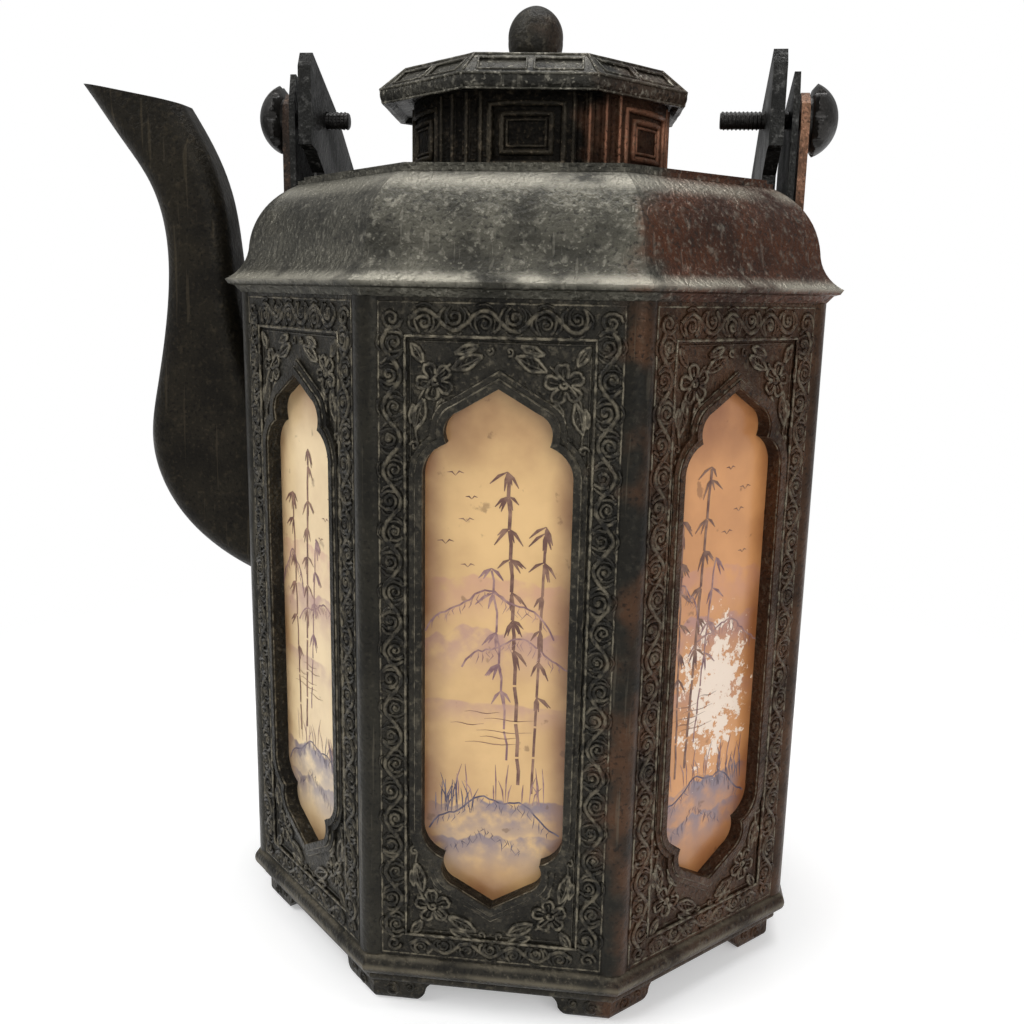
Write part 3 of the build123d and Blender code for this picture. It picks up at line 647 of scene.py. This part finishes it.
def leaf_spray(x_sign, z_sign, seed):
    """Spandrel ornament: a blossom in the corner, leaves towards the window's point and beside its lobes."""
    rng = random.Random(seed)
    turn = rng.uniform(0, math.tau)
    strokes = blossom((14.0, 62.6), rng.uniform(4.2, 4.7), turn)
    strokes += closed_leaf((10.2, 65.2), (3.6 + rng.uniform(-0.4, 0.4), 68.3), 2.7)
    strokes += closed_leaf((9.6, 68.6), (4.6, 70.4), 1.7)
    strokes += closed_leaf((16.4, 58.8), (18.2, 51.6 + rng.uniform(-0.5, 0.5)), 2.6)
    strokes += closed_leaf((18.6, 57.6), (19.2, 53.4), 1.3)
    strokes += closed_leaf((12.2, 58.8), (13.6, 55.0), 1.5)
    strokes += closed_leaf((16.6, 66.6), (19.2, 70.6), 1.9)
    strokes.append((spiral((18.4, 48.4), rng.uniform(0, 6.28), 1.3, 1.1, 1, 10), 0.9))
    strokes.append((spiral((18.6, 45.4), rng.uniform(0, 6.28), 0.9, 1.0, -1, 8), 0.8))
    strokes.append((spiral((2.2, 69.2), rng.uniform(0, 6.28), 1.0, 1.0, 1, 8), 0.8))
    strokes.append((swept((10.6, 66.4), (17.8, 48.6), 0.18, 8), 0.8))
    return [([Vector((point[0] * x_sign, point[1] * z_sign + WINDOW_Z)) for point in points], factor)
            for points, factor in strokes]


def panel_relief(seed):
    """Raised scroll in the border of one side."""
    rng = random.Random(seed)
    scroll = []
    band_middle = (FIELD_HALF + BAND_EDGE) / 2
    side_half_width = (BAND_EDGE - FIELD_HALF) / 2 * 0.92
    low_middle, high_middle = (BAND_LOW + FIELD_LOW) / 2, (BAND_HIGH + FIELD_HIGH) / 2
    for x_sign, phase in ((-1, 0.0), (1, math.pi)):
        x = x_sign * band_middle
        scroll += vine((x, FIELD_LOW - 1), (x, FIELD_HIGH + 2), side_half_width, 7.0, rng, phase)
    for height, half_width, pitch in ((high_middle, 2.9, 6.6), (low_middle, 2.1, 5.4)):
        scroll += vine((-FIELD_HALF + 1, height), (FIELD_HALF - 1, height), half_width, pitch, rng)
    for x_sign in (-1, 1):
        for height, radius, turns in ((high_middle, 2.4, 1.6), (low_middle, 1.9, 1.4)):
            scroll.append((spiral((x_sign * band_middle, height), 0.0, radius, turns, x_sign), 1.0))
    return [(flat(points, PANEL_FACE, SCROLL_WOBBLE, seed + count), False, factor)
            for count, (points, factor) in enumerate(scroll)]


def spandrel_relief(seed):
    """Sprays in the four corners round the window."""
    strokes = []
    for x_sign in (-1, 1):
        for z_sign in (-1, 1):
            spray = leaf_spray(x_sign, z_sign, seed + 3 * x_sign + z_sign)
            strokes += [(flat(points, FIELD_FACE + 0.08, SPRAY_WOBBLE, seed + count), False, factor)
                        for count, (points, factor) in enumerate(spray)]
    return strokes


def panel_lines(with_window):
    """Beads along the frames of a side and round its window."""
    strokes = [(flat(rectangle(FIELD_HALF, FIELD_LOW, FIELD_HIGH), PANEL_FACE + 0.05), True, 1.15),
               (flat(rectangle(BAND_EDGE, BAND_LOW, BAND_HIGH), PANEL_FACE - 0.1), True, 0.8),
               (flat(rectangle(FIELD_HALF - 1.1, FIELD_LOW + 1.1, FIELD_HIGH - 1.1), FIELD_FACE), True, 0.8)]
    if with_window:
        for grow, face, factor in ((2.75, FIELD_FACE + 0.45, 0.9), (2.05, FIELD_FACE + 0.45, 0.6),
                                   (1.50, FIELD_FACE + 1.00, 0.9), (0.15, FIELD_FACE + 0.95, 0.8)):
            ring = [(p.x, p.y + WINDOW_Z) for p in window_outline(grow)]
            strokes.append((flat(ring, face), True, factor))
    return strokes


for index, side in enumerate(SIDES):
    windowed = side in WINDOWED
    relief = stroke_mesh(f"scroll_{side}", panel_relief(SCROLL_SEED + index), SCROLL_WIRE, relief_pewter)
    place_mesh(f"scroll_{side}", relief, "pot", side_spin(index))
    if windowed:
        spray = stroke_mesh(f"spray_{side}", spandrel_relief(SPRAY_SEED + index), SPRAY_WIRE, spray_pewter)
        place_mesh(f"spray_{side}", spray, "pot", side_spin(index))
    lines = stroke_mesh(f"line_{side}", panel_lines(windowed), LINE_WIRE, spray_pewter, roundness=2)
    place_mesh(f"line_{side}", lines, "pot", side_spin(index))


# Neck ornament: three nested frames in each sunk panel, and ribs between the flutes

NECK_PANELS = 6
# Frames: (half angle, gap below, gap above, depth, thickness factor)
NECK_FRAMES = ((15.6, 2.6, 3.4, 0.35, 1.9), (10.4, 5.2, 5.8, 0.7, 1.8), (8.2, 6.6, 7.2, 0.75, 0.9))
NECK_RIBS = (19.4, 26.2, 33.8, 40.6)


def on_neck(angle, z, radius=NECK_RADIUS):
    a = math.radians(angle)
    return Vector((radius * math.sin(a), -radius * math.cos(a), z)) * MM


def neck_lines():
    strokes = []
    for count in range(NECK_PANELS):
        middle = count * 360 / NECK_PANELS
        for half_angle, below, above, depth, factor in NECK_FRAMES:
            frame_line = rectangle(half_angle, NECK_LOW + below, NECK_HIGH - above, 6)
            ring = [on_neck(middle + angle, z, NECK_RADIUS - depth) for angle, z in frame_line]
            strokes.append((ring, True, factor))
        for rib in NECK_RIBS:
            ends = [on_neck(middle + rib, NECK_LOW + 0.4), on_neck(middle + rib, NECK_HIGH - 0.6)]
            strokes.append((ends, False, 1.1))
    return strokes


neck_mesh = stroke_mesh("neck_frames", neck_lines(), NECK_WIRE, neck_relief, roundness=2)
place_mesh("neck_frames", neck_mesh, "pot")


# Lid edges: beads on its creases and round the sunk panels. An edge is (distance from the axis, height)

LID_TURN, LID_SHIFT = 4.5, -1.8
LID_TOP_EDGE, LID_RIM_EDGE, LID_LOW_EDGE = (32.4, 227.65), (38.65, 222.2), (38.1, 219.0)
LID_PANEL_MIDDLE, LID_PANEL_HALF, LID_PANEL_RISE = 6.6, 5.7, 2.4


def lid_point(spin, across, edge):
    turn = Matrix.Rotation(math.radians(spin + LID_TURN), 3, "Z")
    reach, height = edge
    return (turn @ Vector((across, -reach, height)) + Vector((LID_SHIFT, 0, 0))) * MM


def lid_lines():
    rng = random.Random(LID_SEED)
    strokes = []
    slope = (Vector(LID_RIM_EDGE) - Vector(LID_TOP_EDGE)).normalized()
    slope_middle = (Vector(LID_RIM_EDGE) + Vector(LID_TOP_EDGE)) / 2
    half, rise = LID_PANEL_HALF, LID_PANEL_RISE
    panel = [(-half, -rise), (0, -rise), (half, -rise), (half, 0),
             (half, rise), (0, rise), (-half, rise), (-half, 0)]
    for spin in range(0, 360, 45):
        for edge, factor in ((LID_TOP_EDGE, 0.9), (LID_RIM_EDGE, 1.1), (LID_LOW_EDGE, 0.9)):
            reach = edge[0] * CORNER
            line = []
            for t in range(9):
                worn_edge = (edge[0] + rng.uniform(-LID_WOBBLE, LID_WOBBLE), edge[1])
                line.append(lid_point(spin, reach * (t / 4 - 1), worn_edge))
            strokes.append((line, False, factor))
        crease = []
        for edge in (LID_TOP_EDGE, LID_RIM_EDGE, LID_LOW_EDGE):
            crease.append(lid_point(spin, edge[0] * CORNER, edge))
        strokes.append((crease, False, 1.1))
        for centre in (-LID_PANEL_MIDDLE, LID_PANEL_MIDDLE):
            ring = [lid_point(spin, centre + x, slope_middle + slope * y) for x, y in panel]
            strokes.append((ring, True, 0.9))
    return strokes


lid_mesh = stroke_mesh("lid_edges", lid_lines(), LID_WIRE, lid_relief, roundness=2)
place_mesh("lid_edges", lid_mesh, "lid")


# Feet: two curls on each face of a foot, each (distance in from the corner, height, radius)

FOOT_FACE = 70.55
FOOT_CORNER = FOOT_FACE * CORNER
FOOT_CURLS = ((4.6, 3.3, 2.0), (9.0, 4.2, 1.3))


def foot_curls():
    """Curls on the foot wings of the front side, left and right."""
    strokes = []
    for hand in (-1, 1):
        for inward, height, size in FOOT_CURLS:
            x = hand * (FOOT_CORNER - inward)
            curl = spiral((x, height), math.radians(100), size, 1.3, hand, 12)
            strokes.append((flat(curl, FOOT_FACE), False, 1.0))
    return strokes


for index, side in enumerate(SIDES):
    curls = stroke_mesh(f"foot_curls_{side}", foot_curls(), CURL_WIRE, relief_pewter)
    place_mesh(f"foot_curls_{side}", curls, "pot", side_spin(index))


# Screws: the free end is turned down and a thread is wound round it

# In millimetres. The thread stops at THREAD_END from the pot's axis, where a short step leads up to the shank
THREAD_PITCH = 1.058
THREAD_CORE = 2.12
THREAD_RIDGE = 0.26
THREAD_END = 58.6
THREAD_STEP = 0.1
# Points of the ridge in one turn
THREAD_POINTS = 20
# How close two corners are joined, in metres
WELD = 0.000002
SMOOTH_ANGLE = math.radians(40)


def thin_screw(side, sign):
    """Stands for the plain screw: a copy of it whose free end is turned down to the thread's core."""
    piece = bpy.data.objects.new(f"cut_screw_{side}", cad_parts[f"ear_screw_{side}"].data.copy())
    bpy.context.scene.collection.objects.link(piece)
    select_alone(piece)
    bpy.ops.object.mode_set(mode="EDIT")
    bpy.ops.mesh.select_all(action="SELECT")
    bpy.ops.mesh.remove_doubles(threshold=WELD)
    for cut in (THREAD_END, THREAD_END + THREAD_STEP):
        bpy.ops.mesh.select_all(action="SELECT")
        bpy.ops.mesh.bisect(plane_co=(sign * cut * MM, 0, 0), plane_no=(1, 0, 0))
    bpy.ops.object.mode_set(mode="OBJECT")
    for vertex in piece.data.vertices:
        if abs(vertex.co.x) < (THREAD_END + THREAD_STEP / 2) * MM:
            reach = math.hypot(vertex.co.y, vertex.co.z - SCREW_Z * MM)
            shrink = min(1.0, THREAD_CORE * MM / reach) if reach else 1.0
            vertex.co.y *= shrink
            vertex.co.z = SCREW_Z * MM + (vertex.co.z - SCREW_Z * MM) * shrink
    bpy.ops.object.shade_smooth_by_angle(angle=SMOOTH_ANGLE)
    piece.data.materials.clear()
    piece.data.materials.append(black_steel)
    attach(piece, f"screw_{side}")
    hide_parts(f"ear_screw_{side}")


def wind_thread(side, sign, start):
    """The ridge of the thread, round the thin end from start to THREAD_END."""
    turns = (THREAD_END - start) / THREAD_PITCH
    count = int(turns * THREAD_POINTS)
    points = []
    for index in range(count + 1):
        angle = math.tau * turns * index / count
        x = sign * (start + THREAD_PITCH * turns * index / count)
        y = THREAD_CORE * math.cos(angle)
        z = SCREW_Z + THREAD_CORE * math.sin(angle) * sign
        points.append(Vector((x, y, z)) * MM)
    mesh = stroke_mesh(f"thread_{side}", [(points, False, 1.0)], THREAD_RIDGE, black_steel)
    place_mesh(f"thread_{side}", mesh, f"screw_{side}")


for side, sign, start in (("left", -1, 53.0), ("right", 1, 47.6)):
    thin_screw(side, sign)
    wind_thread(side, sign, start)


# Painted scenes: strokes a hair proud of the glass, each (points on the pane, width, tapered)

PAINT_LIFT = 0.03
LAYER_LIFT, LAYERS = 0.0012, 40
THINNEST = 0.25
PAINTED_HALF, PAINTED_CUSP_HALF = 17.1, 12.2


def brush(points, width, taper, lift):
    """A flat stroke of the brush along the points, as a strip of faces: (verts, faces)."""
    verts, faces = [], []
    face = PANE_FACE + PAINT_LIFT + lift
    total = len(points) - 1
    for index, point in enumerate(points):
        before = points[max(0, index - 1)]
        after = points[min(total, index + 1)]
        run = Vector((after[0] - before[0], after[1] - before[1]))
        across = Vector((-run.y, run.x)).normalized() if run.length else Vector((1, 0))
        swell = math.sin(math.pi * min(0.96, max(0.04, index / total))) if taper else 1.0
        half = width / 2 * max(THINNEST, swell)
        verts.append(onto_side(point[0] + across.x * half, point[1] + across.y * half, face))
        verts.append(onto_side(point[0] - across.x * half, point[1] - across.y * half, face))
        if index:
            n = 2 * index
            faces.append((n - 2, n - 1, n + 1, n))
    return verts, faces


def painting(name, strokes, material, turn):
    verts, faces = [], []
    for count, (points, width, taper) in enumerate(strokes):
        new_verts, new_faces = brush(points, width, taper, LAYER_LIFT * (count % LAYERS))
        shift = len(verts)
        verts += new_verts
        faces += [tuple(index + shift for index in face) for face in new_faces]
    mesh = bpy.data.meshes.new(name)
    mesh.from_pydata(verts, [], faces)
    mesh.materials.append(material)
    mesh.update()
    place_mesh(name, mesh, "pot", turn)


def bamboo(rng, x, low, high, lean, width):
    """A jointed cane with leaves at its upper joints."""
    strokes = []
    z = low
    while z < high:
        length = rng.uniform(6.5, 9.5)
        top = min(high, z + length)
        foot_x, top_x = x + lean * (z - low), x + lean * (top - low)
        strokes.append(([(foot_x, z), (foot_x + 0.1, (z + top) / 2), (top_x, top - 0.5)], width, False))
        z = top
        if z > low + 0.35 * (high - low):
            for _ in range(rng.randint(3, 5)):
                angle = rng.uniform(-2.6, -0.5)
                size = rng.uniform(3.0, 5.2)
                joint = Vector((top_x, z))
                blade = Vector((math.cos(angle), math.sin(angle))) * size
                leaf = [joint, joint + blade / 2 + Vector((0, 0.4)), joint + blade]
                strokes.append((leaf, 0.75, True))
    return strokes


def hill(rng, left, right, base, height, bumps):
    """A ridge line with short hatching under it."""
    ridge = []
    count = 26
    for index in range(count + 1):
        t = index / count
        bump = 0.9 * math.sin(bumps * math.pi * t + rng.random())
        z = base + height * (math.sin(math.pi * t) ** 0.8) + bump
        ridge.append((left + (right - left) * t, z))
    strokes = [(ridge, 0.42, False)]
    for index in range(2, count - 1):
        x, z = ridge[index]
        drop = rng.uniform(1.2, 3.6)
        middle = (x + rng.uniform(-0.8, 0.8), z - drop * 0.5)
        hatch = [(x, z - 0.3), middle, (x + rng.uniform(-1, 1), z - drop)]
        strokes.append((hatch, 0.22, True))
    return strokes


def reeds(rng, left, right, base):
    strokes = []
    for _ in range(16):
        x = rng.uniform(left, right)
        tall = rng.uniform(4, 10)
        sway = rng.uniform(-2.2, 2.2)
        reed = [(x, base), (x + sway * 0.3, base + tall * 0.6), (x + sway, base + tall)]
        strokes.append((reed, 0.34, True))
    return strokes


def bird(x, z, span):
    """Two wings in flight."""
    near_wing = [(x - span, z + span * 0.35), (x - span * 0.4, z + span * 0.42), (x, z)]
    far_wing = [(x, z), (x + span * 0.45, z + span * 0.5), (x + span, z + span * 0.3)]
    return [(near_wing, 0.35, True), (far_wing, 0.35, True)]


def ripples(rng, base, rows):
    strokes = []
    for row in range(rows):
        z = base + row * 1.5
        x = rng.uniform(-13, -2)
        length = rng.uniform(6, 13)
        strokes.append(([(x + length * t / 6, z + 0.25 * math.sin(t * 1.3)) for t in range(7)], 0.2, True))
    return strokes


def painted_half(z):
    """Half the painted width at a height: like the window's, with straight slopes for its lobes."""
    rise = abs(z - WINDOW_Z)
    if rise < WINDOW_STRAIGHT:
        return PAINTED_HALF
    if rise < WINDOW_CUSP:
        return PAINTED_HALF - (rise - WINDOW_STRAIGHT) * 0.72
    return max(0.0, PAINTED_CUSP_HALF - (rise - WINDOW_CUSP) * 1.02)


def inside_painting(strokes):
    """Keeps the strokes that lie wholly within the painted width."""
    kept = []
    for points, width, taper in strokes:
        if all(abs(x) < painted_half(z) for x, z in points):
            kept.append((points, width, taper))
    return kept


def pane_scene(index, side):
    """Canes before low hills, with reeds, ripples and birds. The canes change sides from pane to pane."""
    rng = random.Random(PAINTING_SEED + index)
    flip = -1 if index % 2 else 1
    brown, mauve, blue = [], [], []
    cane_x = flip * rng.uniform(5, 8)
    brown += bamboo(rng, cane_x, low=60, high=134, lean=-0.05 * flip, width=0.8)
    brown += bamboo(rng, cane_x + 3.2 * flip, low=58, high=122, lean=0.03 * flip, width=0.6)
    mauve += bamboo(rng, cane_x - 2.8 * flip, low=66, high=112, lean=-0.09 * flip, width=0.5)
    mauve += hill(rng, left=-16.5, right=9 * flip + 4, base=96, height=10, bumps=5)
    mauve += hill(rng, left=-8, right=16.5, base=88, height=7, bumps=4)
    blue += hill(rng, left=-15.5, right=15.5, base=47, height=9, bumps=6)
    blue += hill(rng, left=-12.5, right=8, base=40, height=8, bumps=5)
    mauve += reeds(rng, left=-13, right=13, base=55)
    blue += reeds(rng, left=-14 * flip, right=-4 * flip, base=52)
    brown += ripples(rng, base=70, rows=6)
    for count in range(5):
        brown += bird(-flip * rng.uniform(3, 12), 112 + count * 5.2, rng.uniform(1.2, 2.0))
    for label, strokes, material in (("brown", brown, brown_ink), ("mauve", mauve, mauve_ink),
                                     ("blue", blue, blue_ink)):
        painting(f"painting_{label}_{side}", inside_painting(strokes), material, side_spin(index))


for index, side in enumerate(SIDES):
    if side in WINDOWED:
        pane_scene(index, side)


# Floor, lights and camera

FLOOR_SIZE = 8
FLOOR_GLOW = 0.30
FADE_FROM, FADE_TO = 0.12, 0.34
WORLD_LIGHT = 0.40

# Lights: (name, place, aim, size, power)
LIGHTS = (("window_light", (-0.9, -0.5, 1.1), (0, 0, 0.12), (0.7, 0.9), 11.5),
          ("top_light", (0.1, 0.15, 1.2), (0, 0, 0.15), (0.8, 0.5), 7.5),
          ("front_fill", (0.6, -1.2, 0.7), (0, 0, 0.1), (1.0, 0.8), 8.5))


def pale_floor():
    """A pale floor that turns white a short way from the pot, where it is seen or mirrored."""
    bpy.ops.mesh.primitive_plane_add(size=FLOOR_SIZE, location=(0, 0, 0))
    floor = bpy.context.object
    floor.name = "floor"
    mat, nodes, links, shader = new_material("floor")
    shader.inputs["Base Color"].default_value = (0.84, 0.84, 0.84, 1)
    shader.inputs["Roughness"].default_value = 0.9
    path = nodes.new("ShaderNodeLightPath")
    seen = math_node(nodes, links, "MAXIMUM", path.outputs["Is Camera Ray"], path.outputs["Is Glossy Ray"])
    glow = math_node(nodes, links, "MULTIPLY", seen, FLOOR_GLOW)
    links.new(glow, shader.inputs["Emission Strength"])
    shader.inputs["Emission Color"].default_value = (1, 1, 1, 1)
    across = math_node(nodes, links, "POWER", object_axis(nodes, links, "X"), 2.0)
    away = math_node(nodes, links, "POWER", object_axis(nodes, links, "Y"), 2.0)
    far = math_node(nodes, links, "SQRT", math_node(nodes, links, "ADD", across, away))
    fade = math_node(nodes, links, "MULTIPLY", smooth_step(nodes, links, far, FADE_FROM, FADE_TO), seen)
    white = nodes.new("ShaderNodeEmission")
    blend = nodes.new("ShaderNodeMixShader")
    links.new(fade, blend.inputs[0])
    links.new(shader.outputs[0], blend.inputs[1])
    links.new(white.outputs[0], blend.inputs[2])
    links.new(blend.outputs[0], nodes["Material Output"].inputs["Surface"])
    floor.data.materials.append(mat)


def white_world():
    """A background that is white where it is seen, and dimmer as a light."""
    world = bpy.data.worlds.new("studio")
    bpy.context.scene.world = world
    world.use_nodes = True
    nodes, links = world.node_tree.nodes, world.node_tree.links
    back = nodes["Background"]
    back.inputs["Color"].default_value = (1, 1, 1, 1)
    path = nodes.new("ShaderNodeLightPath")
    camera_ray, glass_ray = path.outputs["Is Camera Ray"], path.outputs["Is Transmission Ray"]
    seen = math_node(nodes, links, "MAXIMUM", camera_ray, glass_ray)
    strength = math_node(nodes, links, "MULTIPLY_ADD", seen, 1.0 - WORLD_LIGHT)
    strength.node.inputs[2].default_value = WORLD_LIGHT
    links.new(strength, back.inputs["Strength"])


def soft_lights():
    for name, place, aim, size, power in LIGHTS:
        data = bpy.data.lights.new(name, "AREA")
        data.shape = "RECTANGLE"
        data.size, data.size_y = size
        data.energy = power
        light = bpy.data.objects.new(name, data)
        light.location = place
        light.rotation_euler = (Vector(aim) - Vector(place)).to_track_quat("-Z", "Y").to_euler()
        bpy.context.scene.collection.objects.link(light)


def photo_camera():
    data = bpy.data.cameras.new("photo camera")
    data.lens = LENS
    data.sensor_width = SENSOR
    data.clip_start = NEAREST
    camera = bpy.data.objects.new("photo camera", data)
    bpy.context.scene.collection.objects.link(camera)
    aim = CAMERA_LOOK.normalized().to_track_quat("-Z", "Y").to_matrix()
    turn = aim @ Matrix.Rotation(CAMERA_ROLL, 3, "Z")
    camera.matrix_world = Matrix.Translation(CAMERA_PLACE) @ turn.to_4x4()
    bpy.context.scene.camera = camera


pale_floor()
white_world()
soft_lights()
photo_camera()
bpy.context.scene.view_settings.view_transform = "Standard"
